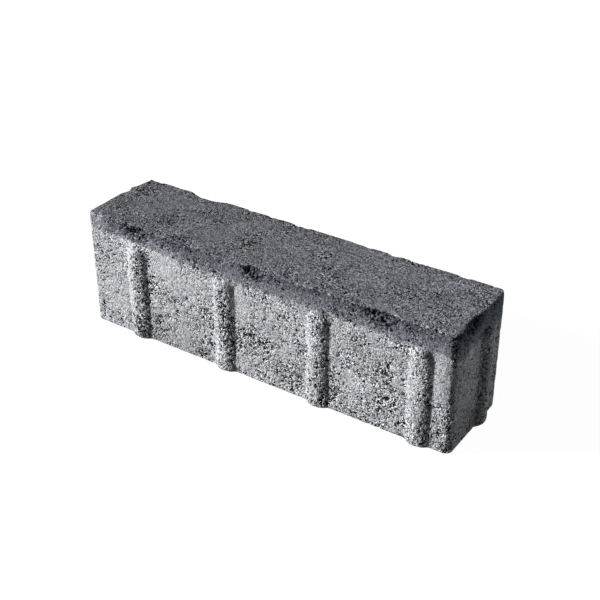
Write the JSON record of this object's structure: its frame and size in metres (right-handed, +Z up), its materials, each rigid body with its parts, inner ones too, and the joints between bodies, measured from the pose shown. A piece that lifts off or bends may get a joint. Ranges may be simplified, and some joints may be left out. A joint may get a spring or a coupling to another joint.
{
  "type": "concrete paver",
  "caption": "Narrow bar-shaped concrete paver with a dark worn face mix on top and upright domed spacer ribs on every side.",
  "frame": {"origin": "middle of the base, on the surface that the paver lies on", "axes": "+X along the bar, +Y across it towards the back, +Z up through the walking face"},
  "size_m": [0.2, 0.05, 0.059],
  "materials": {
    "concrete": "rough pressed concrete, anthracite on top and for about 10 mm down the sides, pale cement grey below"
  },
  "bodies": {
    "root": {"paver": "concrete"}
  },
  "joints": []
}
